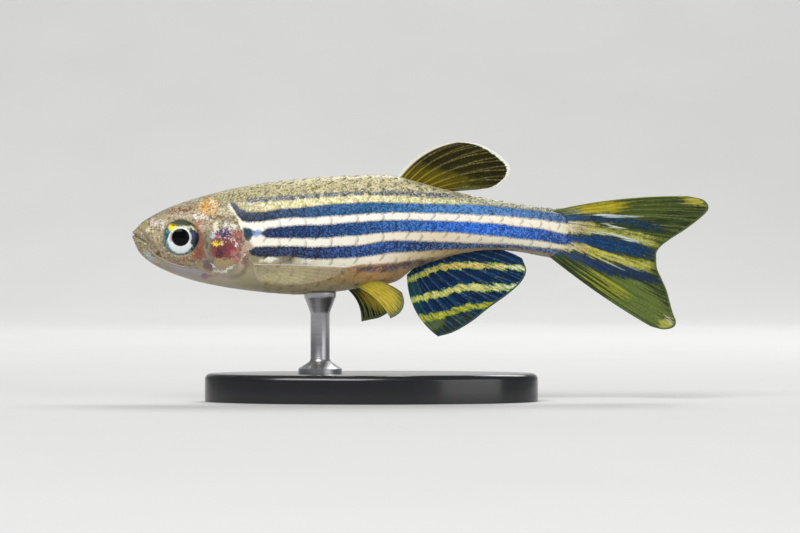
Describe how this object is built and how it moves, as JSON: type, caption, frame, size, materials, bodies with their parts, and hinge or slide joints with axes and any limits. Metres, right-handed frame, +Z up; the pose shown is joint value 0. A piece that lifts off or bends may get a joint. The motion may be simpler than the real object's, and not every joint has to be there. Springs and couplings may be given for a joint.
{
  "type": "zebra danio on a display stand",
  "caption": "Slim striped freshwater fish with a forked tail, spread fins and short feelers, held in a swimming pose by a small oval stand.",
  "frame": {"origin": "underside of the display stand, below the middle of the fish's length", "axes": "-X from tail to snout, +Z up, the fish's left flank faces -Y"},
  "size_m": [0.0451, 0.013, 0.0203],
  "materials": {
    "skin": "wet scaled skin, olive above, blue stripes on cream sides, tan below",
    "gill_cover": "smooth pinkish bony plate with a pearly sheen",
    "eye": "wet dark pupil in a silver and yellow iris",
    "fin": "thin olive and yellow rayed web",
    "striped_fin": "thin rayed web in navy and yellow bands",
    "clear_fin": "thin, nearly clear rayed web",
    "feeler": "soft pale strand",
    "stand_rod": "satin steel",
    "stand_base": "black, lightly polished"
  },
  "bodies": {
    "root": {"head": "skin", "trunk": "skin", "tail_stem": "skin", "gill_cover_left": "gill_cover", "gill_cover_right": "gill_cover", "eye_left": "eye", "eye_right": "eye", "feeler_snout_left": "feeler", "feeler_snout_right": "feeler", "feeler_jaw_left": "feeler", "feeler_jaw_right": "feeler", "dorsal_fin": "fin", "anal_fin": "striped_fin", "caudal_fin_upper": "striped_fin", "caudal_fin_lower": "striped_fin", "pelvic_fin_left": "fin", "pelvic_fin_right": "fin", "pectoral_fin_left": "clear_fin", "pectoral_fin_right": "clear_fin", "stand_rod": "stand_rod", "stand_base": "stand_base"}
  },
  "joints": []
}
